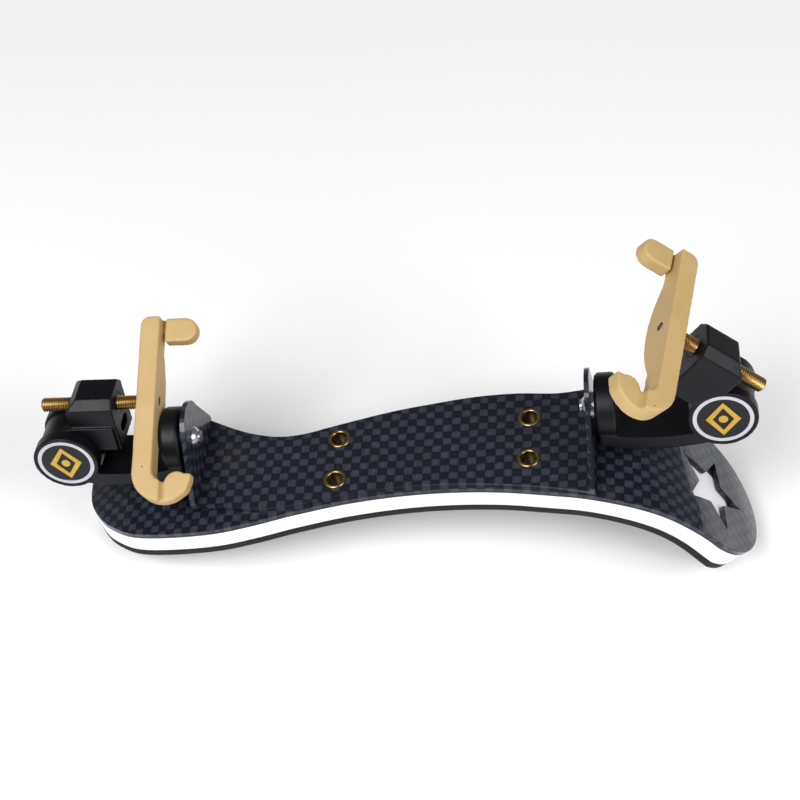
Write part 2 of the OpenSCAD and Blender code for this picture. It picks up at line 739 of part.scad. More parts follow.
base_plate();
bridge_plate();
foam_liner();
white_foam();
black_foam();
eyelets();
pivot_screw(true);  // left_pivot_screw
pivot_washer(true);  // left_pivot_washer
pivot_nut(true);  // left_pivot_nut
arm(true);  // left_arm
hinge_bolt(true);  // left_hinge_bolt
hinge_nut(true);  // left_hinge_nut
badge_ring(true);  // left_badge_ring
badge_disc(true);  // left_badge_disc
badge_emblem(true);  // left_badge_emblem
cradle(true);  // left_cradle
threaded_insert(true);  // left_threaded_insert
rod(true);  // left_rod
fork_core(true);  // left_fork_core
fork_rubber(true);  // left_fork_rubber
pivot_screw(false);  // right_pivot_screw
pivot_washer(false);  // right_pivot_washer
pivot_nut(false);  // right_pivot_nut
arm(false);  // right_arm
hinge_bolt(false);  // right_hinge_bolt
hinge_nut(false);  // right_hinge_nut
badge_ring(false);  // right_badge_ring
badge_disc(false);  // right_badge_disc
badge_emblem(false);  // right_badge_emblem
cradle(false);  // right_cradle
threaded_insert(false);  // right_threaded_insert
rod(false);  // right_rod
fork_core(false);  // right_fork_core
fork_rubber(false);  // right_fork_rubber
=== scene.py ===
import bpy
import bmesh
import json
import math
from mathutils import Matrix, Vector


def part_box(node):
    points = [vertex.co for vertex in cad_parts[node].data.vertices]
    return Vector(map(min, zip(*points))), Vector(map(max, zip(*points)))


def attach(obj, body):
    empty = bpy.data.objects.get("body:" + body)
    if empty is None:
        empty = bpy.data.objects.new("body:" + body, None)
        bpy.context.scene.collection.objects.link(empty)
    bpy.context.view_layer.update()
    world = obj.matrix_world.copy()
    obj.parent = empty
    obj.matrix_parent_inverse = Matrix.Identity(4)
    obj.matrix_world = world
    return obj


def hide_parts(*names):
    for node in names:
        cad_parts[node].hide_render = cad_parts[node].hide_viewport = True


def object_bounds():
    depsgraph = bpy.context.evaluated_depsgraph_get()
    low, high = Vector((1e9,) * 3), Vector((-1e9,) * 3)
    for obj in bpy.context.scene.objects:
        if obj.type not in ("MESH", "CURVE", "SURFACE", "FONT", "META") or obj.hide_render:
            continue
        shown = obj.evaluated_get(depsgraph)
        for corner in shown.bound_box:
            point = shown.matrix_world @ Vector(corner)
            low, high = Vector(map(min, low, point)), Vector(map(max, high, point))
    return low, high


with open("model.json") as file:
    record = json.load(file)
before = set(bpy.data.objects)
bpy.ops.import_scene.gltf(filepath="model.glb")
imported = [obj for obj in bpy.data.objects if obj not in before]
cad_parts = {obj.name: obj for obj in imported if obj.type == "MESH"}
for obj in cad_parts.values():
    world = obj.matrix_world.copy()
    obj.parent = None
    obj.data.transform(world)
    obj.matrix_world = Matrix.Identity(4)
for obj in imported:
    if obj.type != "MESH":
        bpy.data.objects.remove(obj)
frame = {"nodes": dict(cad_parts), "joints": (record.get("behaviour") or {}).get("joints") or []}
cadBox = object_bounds()
nodes = frame["nodes"]
joints = {joint["name"]: joint for joint in frame["joints"]}
mm = 0.001
sides = ("left", "right")
meshing = {
    "weld": 0.002 * mm,  # points nearer than this are one
    "flat": math.radians(0.8),  # faces that differ by less are one face
    "corner": math.radians(40),  # edges sharper than this are rounded
    "crisp": math.radians(25),  # edges sharper than this are not shaded over
    "crispTurned": math.radians(50),
    "crispThread": math.radians(48),
}
print("frame loaded,", len(nodes), "nodes")


def toLinear(code):
    # sRGB hex to the linear colour that the shaders take
    channels = [int(code[i:i + 2], 16) / 255 for i in (1, 3, 5)]
    return [c / 12.92 if c <= 0.04045 else ((c + 0.055) / 1.055) ** 2.4 for c in channels] + [1.0]


def addNode(tree, kind, settings=None, inputs=None):
    # inputs are values, or sockets to link from
    node = tree.nodes.new(kind)
    for key, value in (settings or {}).items():
        setattr(node, key, value)
    for key, value in (inputs or {}).items():
        if isinstance(value, bpy.types.NodeSocket):
            tree.links.new(value, node.inputs[key])
        else:
            node.inputs[key].default_value = value
    return node


def startMaterial(name, look):
    # a material with its uniform values on the shader, its tree and its shader
    material = bpy.data.materials.new(name)
    material.use_nodes = True
    tree = material.node_tree
    shader = next(n for n in tree.nodes if n.type == "BSDF_PRINCIPLED")
    for key, value in look.items():
        shader.inputs[key].default_value = value
    return material, tree, shader


def setFinish(tree, shader, coords, finish):
    # two tones in soft patches, uneven gloss, and a fine grain that stands up from the surface
    patches = addNode(tree, "ShaderNodeTexNoise", None,
                      {"Vector": coords, "Scale": 1 / (finish["patch"] * mm), "Detail": 3.0, "Roughness": 0.55})
    tone = addNode(tree, "ShaderNodeMix", {"data_type": "RGBA"},
                   {0: patches.outputs[0], 6: toLinear(finish["tones"][0]), 7: toLinear(finish["tones"][1])})
    gloss = addNode(tree, "ShaderNodeMapRange", None,
                    {0: patches.outputs[0], 1: 0.3, 2: 0.7, 3: finish["gloss"][0], 4: finish["gloss"][1]})
    grain = addNode(tree, "ShaderNodeTexNoise", None,
                    {"Vector": coords, "Scale": 1 / (finish["grain"] * mm), "Detail": 2.0, "Roughness": 0.6})
    bump = addNode(tree, "ShaderNodeBump", None,
                   {"Height": grain.outputs[0], "Strength": finish["strength"],
                    "Distance": finish["depth"] * mm})
    tree.links.new(tone.outputs[2], shader.inputs["Base Color"])
    tree.links.new(gloss.outputs[0], shader.inputs["Roughness"])
    tree.links.new(bump.outputs[0], shader.inputs["Normal"])
    return tone, bump


def objectCoords(tree):
    return addNode(tree, "ShaderNodeTexCoord").outputs["Object"]


def setMaterial(piece, material):
    piece.data.materials.clear()
    piece.data.materials.append(material)


def mergedCopy(node, name):
    # a closed copy of a CAD node's mesh
    mesh = nodes[node].data.copy()
    mesh.name = name
    shape = bmesh.new()
    shape.from_mesh(mesh)
    bmesh.ops.remove_doubles(shape, verts=shape.verts, dist=meshing["weld"])
    shape.to_mesh(mesh)
    shape.free()
    mesh.materials.clear()
    piece = bpy.data.objects.new(name, mesh)
    bpy.context.scene.collection.objects.link(piece)
    return piece


def bakeModifiers(piece):
    # the modifiers' result as a plain mesh
    graph = bpy.context.evaluated_depsgraph_get()
    mesh = bpy.data.meshes.new_from_object(piece.evaluated_get(graph))
    mesh.name = piece.name
    piece.modifiers.clear()
    piece.data = mesh
    return piece


def roundedCopy(node, name, voxel, passes):
    # a moulded copy of a CAD node: even small faces, then edges worn round by smoothing
    piece = mergedCopy(node, name)
    remesh = piece.modifiers.new("even faces", "REMESH")
    remesh.mode = "VOXEL"
    remesh.voxel_size = voxel * mm
    remesh.use_smooth_shade = True
    soften = piece.modifiers.new("round edges", "SMOOTH")
    soften.factor = 0.5
    soften.iterations = passes
    bakeModifiers(piece)
    piece.data.shade_smooth()
    return piece


# the plates' own frame, worked out from the left ear's pivot
plate = {
    "pivot": Vector((-81.5, -1, 12.5)) * mm,
    "thick": 1.6 * mm,
    "leftStart": 45 * mm,
    "leftRadius": 240 * mm,
    "rightStart": 42 * mm,
    "rightRadius": 57 * mm,
    "rightAngle": math.radians(55),
    "skew": math.radians(8),
    "edge": 0.28,
}
alongPlate = Vector(joints["left_arm_tilt"]["axis"]).normalized()
acrossPlate = Vector((0, 1, 0))
upPlate = alongPlate.cross(acrossPlate)
plateTurn = Matrix((alongPlate, acrossPlate, upPlate)).transposed()
plateOrigin = Vector(joints["left_arm_tilt"]["pos_m"]) - plateTurn @ plate["pivot"]


def toPlate(point):
    # a world point in the plates' own frame
    return plateTurn.transposed() @ (point - plateOrigin)


def unrollBase(p):
    # where a point of the bent plate lies on the flat sheet it was pressed from
    x, y, z = p
    if x < -plate["leftStart"]:
        turn = math.atan2(-plate["leftStart"] - x, z + plate["thick"] + plate["leftRadius"])
        return -plate["leftStart"] - plate["leftRadius"] * turn, y
    cosSkew, sinSkew = math.cos(plate["skew"]), math.sin(plate["skew"])
    a, b = x * cosSkew + y * sinSkew, y * cosSkew - x * sinSkew
    if a > plate["rightStart"]:
        radius, full = plate["rightRadius"], plate["rightAngle"]
        turn = math.atan2(a - plate["rightStart"], z + plate["thick"] + radius)
        if turn > full:
            endX = plate["rightStart"] + radius * math.sin(full)
            endZ = -plate["thick"] - radius * (1 - math.cos(full))
            run = (a - endX) * math.cos(full) - (z - endZ) * math.sin(full)
            a = plate["rightStart"] + radius * full + run
        else:
            a = plate["rightStart"] + radius * turn
    return a * cosSkew - b * sinSkew, a * sinSkew + b * cosSkew


def unrollBridge(p):
    # the ears carry on the sheet's run upwards
    x, y, z = p
    return x + math.copysign(max(z, 0.0), x), y


def edgedCopy(node, name, width, segments):
    # a sheet piece's copy with its cut edges rounded by that width in millimetres
    piece = mergedCopy(node, name)
    shape = bmesh.new()
    shape.from_mesh(piece.data)
    bmesh.ops.dissolve_limit(shape, angle_limit=meshing["flat"], verts=shape.verts, edges=shape.edges)
    shape.to_mesh(piece.data)
    shape.free()
    bevel = piece.modifiers.new("rounded edges", "BEVEL")
    bevel.width = width * mm
    bevel.segments = segments
    bevel.limit_method = "ANGLE"
    bevel.angle_limit = meshing["corner"]
    bakeModifiers(piece)
    piece.data.shade_smooth()
    piece.data.set_sharp_from_angle(angle=meshing["crisp"])
    return piece


def pressedPlate(node, unroll):
    # the plate with its edges broken, and the sheet's own run kept as a UV map in millimetres
    piece = edgedCopy(node, node + "_pressed", plate["edge"], 2)
    mesh = piece.data
    spots = [unroll(toPlate(v.co)) for v in mesh.vertices]
    layer = mesh.uv_layers.new(name="sheet")
    for loop in mesh.loops:
        u, v = spots[loop.vertex_index]
        layer.data[loop.index].uv = (u / mm, v / mm)
    return piece


weave = {
    "cell": (3.05, 2.9),  # one square, along and across
    "fibre": 0.34,
    "stretch": 0.08,  # how drawn out the fibre lines are
    "wander": 1.36,  # how far the weave drifts from straight
    "wanderEvery": 11,
    "rim": 0.16,  # how softly a square dims towards its rim
    "streak": (0.45, 1.25),
    "squares": (0.16, 0.95),  # lightness of the dark and the light squares
    "gloss": (0.42, 0.26),
    "depth": 0.06,
    "dark": "#0a0c13",
    "light": "#3a3f4d",
    "look": {
        "IOR": 1.5, "Specular IOR Level": 0.15,
        "Coat Weight": 0.55, "Coat Roughness": 0.08, "Coat IOR": 1.45,
    },
}


def carbonLaminate():
    # Lacquered plain-weave carbon laminate: squares of fibre bundles under a clear gloss coat.
    # Bundles that run across catch the light and those that run along stay dark.
    # Single fibres are 7 microns thick, so their lines are drawn much coarser, at 0.34 mm.
    material, tree, shader = startMaterial("lacquered carbon laminate", weave["look"])
    sheet = addNode(tree, "ShaderNodeUVMap", {"uv_map": "sheet"}).outputs[0]
    drift = addNode(tree, "ShaderNodeTexNoise", None,
                    {"Vector": sheet, "Scale": 1 / weave["wanderEvery"], "Detail": 1.0})
    offset = addNode(tree, "ShaderNodeVectorMath", {"operation": "SUBTRACT"},
                     {0: drift.outputs[1], 1: (0.5, 0.5, 0.5)})
    spread = addNode(tree, "ShaderNodeVectorMath", {"operation": "SCALE"},
                     {0: offset.outputs[0], "Scale": weave["wander"]})
    run = addNode(tree, "ShaderNodeVectorMath", {"operation": "ADD"}, {0: sheet, 1: spread.outputs[0]})
    # one unit of the grid is one square
    grid = addNode(tree, "ShaderNodeMapping", {"vector_type": "TEXTURE"},
                   {"Vector": run.outputs[0], "Scale": (weave["cell"][0], weave["cell"][1], 1.0)})
    flat = addNode(tree, "ShaderNodeVectorMath", {"operation": "MULTIPLY_ADD"},
                   {0: grid.outputs[0], 1: (1.0, 1.0, 0.0), 2: (0.0, 0.0, 0.5)})
    squares = addNode(tree, "ShaderNodeTexChecker", None,
                      {"Vector": flat.outputs[0], "Scale": 1.0, "Color1": (1, 1, 1, 1), "Color2": (0, 0, 0, 1)})
    # fibre lines, along in one set of squares and across in the other
    lines = []
    for stretch in ((weave["stretch"], 1.0, 1.0), (1.0, weave["stretch"], 1.0)):
        turned = addNode(tree, "ShaderNodeVectorMath", {"operation": "MULTIPLY"},
                         {0: run.outputs[0], 1: stretch})
        lines.append(addNode(tree, "ShaderNodeTexNoise", None,
                             {"Vector": turned.outputs[0], "Scale": 1 / weave["fibre"], "Detail": 2.0}))
    fibres = addNode(tree, "ShaderNodeMix", {"data_type": "FLOAT"},
                     {0: squares.outputs[1], 2: lines[0].outputs[0], 3: lines[1].outputs[0]})
    # each square swells in its middle where the bundle passes over
    parts = addNode(tree, "ShaderNodeSeparateXYZ", None, {0: flat.outputs[0]})
    swell = []
    for axis in (0, 1):
        angle = addNode(tree, "ShaderNodeMath", {"operation": "MULTIPLY"},
                        {0: parts.outputs[axis], 1: math.pi})
        wave = addNode(tree, "ShaderNodeMath", {"operation": "SINE"}, {0: angle.outputs[0]})
        swell.append(addNode(tree, "ShaderNodeMath", {"operation": "ABSOLUTE"}, {0: wave.outputs[0]}))
    crown = addNode(tree, "ShaderNodeMath", {"operation": "MULTIPLY"},
                    {0: swell[0].outputs[0], 1: swell[1].outputs[0]})
    crowned = addNode(tree, "ShaderNodeMath", {"operation": "POWER"}, {0: crown.outputs[0], 1: weave["rim"]})
    # how light a spot is: its square, dimmed at the square's rim and streaked by the fibres
    streak = addNode(tree, "ShaderNodeMapRange", None,
                     {0: fibres.outputs[0], 1: 0.3, 2: 0.72, 3: weave["streak"][0], 4: weave["streak"][1]})
    lit = addNode(tree, "ShaderNodeMapRange", None,
                  {0: squares.outputs[1], 1: 0.0, 2: 1.0, 3: weave["squares"][0], 4: weave["squares"][1]})
    rim = addNode(tree, "ShaderNodeMath", {"operation": "MULTIPLY"},
                  {0: lit.outputs[0], 1: crowned.outputs[0]})
    shade = addNode(tree, "ShaderNodeMath", {"operation": "MULTIPLY"},
                    {0: rim.outputs[0], 1: streak.outputs[0]})
    tone = addNode(tree, "ShaderNodeMix", {"data_type": "RGBA"},
                   {0: shade.outputs[0], 6: toLinear(weave["dark"]), 7: toLinear(weave["light"])})
    height = addNode(tree, "ShaderNodeMath", {"operation": "MULTIPLY_ADD"},
                     {0: fibres.outputs[0], 1: 0.25, 2: crowned.outputs[0]})
    bump = addNode(tree, "ShaderNodeBump", None,
                   {"Height": height.outputs[0], "Strength": 0.25, "Distance": weave["depth"] * mm})
    gloss = addNode(tree, "ShaderNodeMapRange", None,
                    {0: fibres.outputs[0], 1: 0.3, 2: 0.7, 3: weave["gloss"][0], 4: weave["gloss"][1]})
    tree.links.new(tone.outputs[2], shader.inputs["Base Color"])
    tree.links.new(gloss.outputs[0], shader.inputs["Roughness"])
    tree.links.new(bump.outputs[0], shader.inputs["Normal"])
    return material


carbon = carbonLaminate()
for node, unroll in (("base_plate", unrollBase), ("bridge_plate", unrollBridge)):
    pressed = pressedPlate(node, unroll)
    setMaterial(pressed, carbon)
    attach(pressed, "base")
    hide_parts(node)
print("carbon plates done")


liner = {"patch": 22, "tones": ("#0c0d12", "#15161d"), "gloss": (0.3, 0.42), "grain": 0.9, "strength": 0.3,
         "depth": 0.03}


def linerFilm():
    # Calendered black PVC film: satin, with a faint orange peel from the rollers.
    material, tree, shader = startMaterial("black PVC film", {"IOR": 1.52})
    setFinish(tree, shader, objectCoords(tree), liner)
    return material


setMaterial(nodes["foam_liner"], linerFilm())

foams = {
    "white_foam": {
        "title": "white EVA foam", "round": 0.35, "fill": 0.95, "cell": 0.5,
        "tones": ("#ebe6ee", "#fbf8fb"), "rough": (0.72, 0.9), "strength": 0.35, "depth": 0.09,
    },
    "black_foam": {
        "title": "black neoprene foam", "round": 0.6, "fill": 0.9, "cell": 0.7,
        "tones": ("#0a0a0e", "#191920"), "rough": (0.8, 0.96), "strength": 0.5, "depth": 0.16,
    },
}


def closedCellFoam(foam):
    # Closed-cell foam cut from sheet: matt and finely pitted, where the knife opened the bubbles.
    # The bubbles are about 0.2 mm wide, and are drawn at 0.5 to 0.7 mm so that they show.
    material, tree, shader = startMaterial(foam["title"], {"IOR": 1.45})
    coords = objectCoords(tree)
    bubbles = addNode(tree, "ShaderNodeTexVoronoi", {"feature": "F1"},
                      {"Vector": coords, "Scale": 1 / (foam["cell"] * mm), "Randomness": 1.0})
    grime = addNode(tree, "ShaderNodeTexNoise", None,
                    {"Vector": coords, "Scale": 1 / (14 * mm), "Detail": 4.0})
    # painted shade: the colour darkens towards each opened bubble's middle, where its hollow lies
    paintedPoreShade = addNode(tree, "ShaderNodeMapRange", None,
                     {0: bubbles.outputs[0], 1: 0.0, 2: 0.7, 3: 0.15, 4: 0.85})
    blendOf = addNode(tree, "ShaderNodeMath", {"operation": "MULTIPLY_ADD"},
                      {0: grime.outputs[0], 1: 0.35, 2: paintedPoreShade.outputs[0]})
    tone = addNode(tree, "ShaderNodeMix", {"data_type": "RGBA"},
                   {0: blendOf.outputs[0], 6: toLinear(foam["tones"][0]), 7: toLinear(foam["tones"][1])})
    rough = addNode(tree, "ShaderNodeMapRange", None,
                    {0: grime.outputs[0], 1: 0.3, 2: 0.7, 3: foam["rough"][0], 4: foam["rough"][1]})
    bump = addNode(tree, "ShaderNodeBump", None,
                   {"Height": bubbles.outputs[0], "Strength": foam["strength"], "Distance": foam["depth"] * mm})
    tree.links.new(tone.outputs[2], shader.inputs["Base Color"])
    tree.links.new(rough.outputs[0], shader.inputs["Roughness"])
    tree.links.new(bump.outputs[0], shader.inputs["Normal"])
    return material


for node, foam in foams.items():
    pad = edgedCopy(node, node + "_pad", foam["round"], 3)
    setMaterial(pad, closedCellFoam(foam))
    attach(pad, "base")
    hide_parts(node)
print("foam pads done")


eyelet = {
    "bore": 2.6,  # radius
    "wall": 0.35,
    "flange": 1.3,
    "roll": 0.6,
    "stack": 3.2,  # the two plates that it clamps
    "clear": 0.02,
    "seat": 0.03,
    "steps": 40,
}
brassLook = {"patch": 3.5, "tones": ("#806a42", "#bda272"), "gloss": (0.22, 0.38), "grain": 0.25,
             "strength": 0.2, "depth": 0.02}


def brass(name, look):
    # Pressed brass with a thin antique finish: warm, slightly cloudy, with fine draw marks.
    material, tree, shader = startMaterial(name, {"Metallic": 1.0})
    setFinish(tree, shader, objectCoords(tree), look)
    return material


def eyeletMesh():
    # one eyelet turned from its section: rolled flange on top, barrel, and a flatter roll below
    e = eyelet
    outer = e["bore"] + e["wall"]
    rim = e["bore"] + e["flange"]
    section = [(e["bore"], -e["stack"] + e["clear"])]
    for step in range(9):  # the rolled top, from the bore over to the rim
        angle = math.pi * step / 8
        section.append((e["bore"] + e["flange"] / 2 * (1 - math.cos(angle)),
                        e["seat"] + e["roll"] * math.sin(angle) ** 0.8))
    section += [(rim, e["clear"]), (outer, e["clear"]), (outer, e["roll"] - e["stack"]),
                (rim - 0.2, e["roll"] - e["stack"]), (rim - 0.1, e["roll"] / 2 - e["stack"]),
                (rim - 0.4, e["clear"] - e["stack"])]
    mesh = bpy.data.meshes.new("eyelet")
    shape = bmesh.new()
    rings = []
    for step in range(e["steps"]):
        turn = 2 * math.pi * step / e["steps"]
        cosTurn, sinTurn = math.cos(turn), math.sin(turn)
        rings.append([shape.verts.new((r * mm * cosTurn, r * mm * sinTurn, z * mm)) for r, z in section])
    for i, ring in enumerate(rings):
        after = rings[(i + 1) % len(rings)]
        for k in range(len(section)):
            n = (k + 1) % len(section)
            shape.faces.new((ring[k], after[k], after[n], ring[n]))
    bmesh.ops.recalc_face_normals(shape, faces=shape.faces)
    shape.to_mesh(mesh)
    shape.free()
    mesh.shade_smooth()
    mesh.set_sharp_from_angle(angle=meshing["crispTurned"])
    return mesh


def eyeletTree(source, material):
    # the same eyelet at each marked point, turned square to the plate
    tree = bpy.data.node_groups.new("eyelet rows", "GeometryNodeTree")
    face = tree.interface
    face.new_socket(name="Geometry", in_out="INPUT", socket_type="NodeSocketGeometry")
    face.new_socket(name="Tilt", in_out="INPUT", socket_type="NodeSocketFloat")
    face.new_socket(name="Geometry", in_out="OUTPUT", socket_type="NodeSocketGeometry")
    given = addNode(tree, "NodeGroupInput")
    result = addNode(tree, "NodeGroupOutput")
    one = addNode(tree, "GeometryNodeObjectInfo", None, {"Object": source})
    turn = addNode(tree, "ShaderNodeCombineXYZ", None, {"Y": given.outputs["Tilt"]})
    placed = addNode(tree, "GeometryNodeInstanceOnPoints", None,
                     {"Points": given.outputs["Geometry"], "Instance": one.outputs["Geometry"],
                      "Rotation": turn.outputs[0]})
    real = addNode(tree, "GeometryNodeRealizeInstances", None, {0: placed.outputs[0]})
    coloured = addNode(tree, "GeometryNodeSetMaterial", None,
                       {"Geometry": real.outputs[0], "Material": material})
    tree.links.new(coloured.outputs[0], result.inputs[0])
    return tree


def islandCentres(node):
    # the middles of a node's separate solids, from its merged mesh
    shape = bmesh.new()
    shape.from_mesh(nodes[node].data)
    bmesh.ops.remove_doubles(shape, verts=shape.verts, dist=meshing["weld"])
    left, centres = set(shape.verts), []
    while left:
        group, edge = set(), [min(left, key=lambda v: v.index)]
        while edge:
            vertex = edge.pop()
            if vertex in group:
                continue
            group.add(vertex)
            edge += [e.other_vert(vertex) for e in vertex.link_edges if e.other_vert(vertex) not in group]
        left -= group
        low = Vector(min(toPlate(v.co)[k] for v in group) for k in range(3))
        high = Vector(max(toPlate(v.co)[k] for v in group) for k in range(3))
        centres.append((low + high) / 2)
    shape.free()
    return centres


eyeletBrass = brass("antique brass", brassLook)
marks = bpy.data.meshes.new("eyelets")
marks.from_pydata([plateOrigin + plateTurn @ Vector((c.x, c.y, 0)) for c in islandCentres("eyelets")], [], [])
rows = bpy.data.objects.new("eyelets_rolled", marks)
bpy.context.scene.collection.objects.link(rows)
pattern = bpy.data.objects.new("eyelet pattern", eyeletMesh())
bpy.context.scene.collection.objects.link(pattern)
repeat = rows.modifiers.new("rows", "NODES")
repeat.node_group = eyeletTree(pattern, eyeletBrass)
tiltInput = next(s for s in repeat.node_group.interface.items_tree if s.name == "Tilt" and s.in_out == "INPUT")
repeat[tiltInput.identifier] = -math.atan2(alongPlate.z, alongPlate.x)
bakeModifiers(rows)
bpy.data.objects.remove(pattern)
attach(rows, "base")
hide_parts("eyelets")
print("eyelets done")


# screws, washers, nuts and the strips inside the forks
steel = {"patch": 4, "tones": ("#a9a9b2", "#dcdce4"), "gloss": (0.24, 0.36), "grain": 0.3, "strength": 0.18,
         "depth": 0.015}
dullSteel = {"patch": 5, "tones": ("#6c6d74", "#9a9ba2"), "gloss": (0.32, 0.5), "grain": 0.35, "strength": 0.3,
             "depth": 0.03}


def platedSteel(name, look):
    # Zinc-plated steel, tumbled: bright, with faint cloudy patches and fine handling marks.
    material, tree, shader = startMaterial(name, {"Metallic": 1.0})
    setFinish(tree, shader, objectCoords(tree), look)
    return material


brightSteel = platedSteel("bright zinc-plated steel", steel)
stripSteel = platedSteel("rolled steel strip", dullSteel)
for side in sides:
    for part in ("pivot_screw", "pivot_washer", "pivot_nut", "hinge_bolt", "hinge_nut"):
        setMaterial(nodes[f"{side}_{part}"], brightSteel)
    setMaterial(nodes[f"{side}_fork_core"], stripSteel)
print("steel parts done")


nylonLook = {"patch": 9, "tones": ("#06070b", "#0b0c12"), "gloss": (0.36, 0.48), "grain": 0.32,
             "strength": 0.28, "depth": 0.03}


def mouldedNylon():
    # Glass-filled nylon, moulded in a finely eroded tool: near black, satin, with a grain like fine leather.
    # The tool's grain is about 0.05 mm, and is drawn at 0.32 mm so that it shows.
    material, tree, shader = startMaterial("moulded black nylon", {"IOR": 1.53, "Specular IOR Level": 0.22})
    setFinish(tree, shader, objectCoords(tree), nylonLook)
    return material


nylon = mouldedNylon()
moulding = {"voxel": 0.3, "passes": 7}
for side in sides:
    for part in ("arm", "cradle"):
        moulded = roundedCopy(f"{side}_{part}", f"{side}_{part}_moulded", moulding["voxel"], moulding["passes"])
        setMaterial(moulded, nylon)
        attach(moulded, f"{side}_{part}")
        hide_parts(f"{side}_{part}")
    setMaterial(nodes[f"{side}_threaded_insert"], nylon)
print("arms and clamp boxes done")


badge = {
    "ring": {"patch": 6, "tones": ("#b9b8c2", "#dddce4"), "gloss": (0.24, 0.34), "grain": 0.2, "strength": 0.1,
             "depth": 0.01},
    "face": {"patch": 8, "tones": ("#07080c", "#0d0e14"), "gloss": (0.14, 0.22), "grain": 1.2, "strength": 0.12,
             "depth": 0.02},
    "gold": {"patch": 3, "tones": ("#b98f2c", "#dcbc5b"), "gloss": (0.3, 0.42), "grain": 0.25, "strength": 0.25,
             "depth": 0.02},
    "groove": 0.3,
    "grooveBump": (0.12, 0.02),
}
waveUnit = 3.18  # bands in one unit of a ring wave at scale 1


def spunAluminium(name, centre):
    # Anodised aluminium faced on a lathe: a soft silver with rings round the middle.
    # The tool marks are about 0.05 mm apart, and are drawn at 0.3 mm so that they show.
    material, tree, shader = startMaterial(name, {"Metallic": 1.0})
    coords = objectCoords(tree)
    tone, bump = setFinish(tree, shader, coords, badge["ring"])
    centred = addNode(tree, "ShaderNodeMapping", None, {"Vector": coords, "Location": -centre})
    marksOf = addNode(tree, "ShaderNodeTexWave", {"wave_type": "RINGS", "rings_direction": "Y"},
                      {"Vector": centred.outputs[0], "Scale": 1 / (badge["groove"] * mm) / waveUnit,
                       "Distortion": 0.4, "Detail": 1.0})
    turned = addNode(tree, "ShaderNodeBump", None,
                     {"Height": marksOf.outputs[1], "Strength": badge["grooveBump"][0],
                      "Distance": badge["grooveBump"][1] * mm, "Normal": bump.outputs[0]})
    tree.links.new(turned.outputs[0], shader.inputs["Normal"])
    return material


def paintedFace():
    # Gloss black enamel inside the ring: deep, with a slight ripple.
    material, tree, shader = startMaterial("gloss black enamel", {"IOR": 1.5, "Specular IOR Level": 0.3})
    setFinish(tree, shader, objectCoords(tree), badge["face"])
    return material


def goldFoil():
    # Hot-stamped gold foil: warm metal, a little cloudy, with a fine press grain.
    material, tree, shader = startMaterial("stamped gold foil", {"Metallic": 0.85, "IOR": 1.5})
    setFinish(tree, shader, objectCoords(tree), badge["gold"])
    return material


enamel, foil = paintedFace(), goldFoil()
for side in sides:
    low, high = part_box(f"{side}_badge_ring")
    setMaterial(nodes[f"{side}_badge_ring"], spunAluminium(f"{side} spun aluminium", (low + high) / 2))
    setMaterial(nodes[f"{side}_badge_disc"], enamel)
    setMaterial(nodes[f"{side}_badge_emblem"], foil)
print("badges done")


rod = {
    "outer": 2.45,  # radius over the thread
    "depth": 0.38,
    "pitch": 0.87,
    "chamfer": 0.6,
    "columns": 32,
    "rowsPerPitch": 8,
    "closeEnds": 1e-6,
}
rodLook = {"patch": 6, "tones": ("#a5834c", "#c8a870"), "gloss": (0.3, 0.4), "grain": 0.3, "strength": 0.2,
           "depth": 0.02}


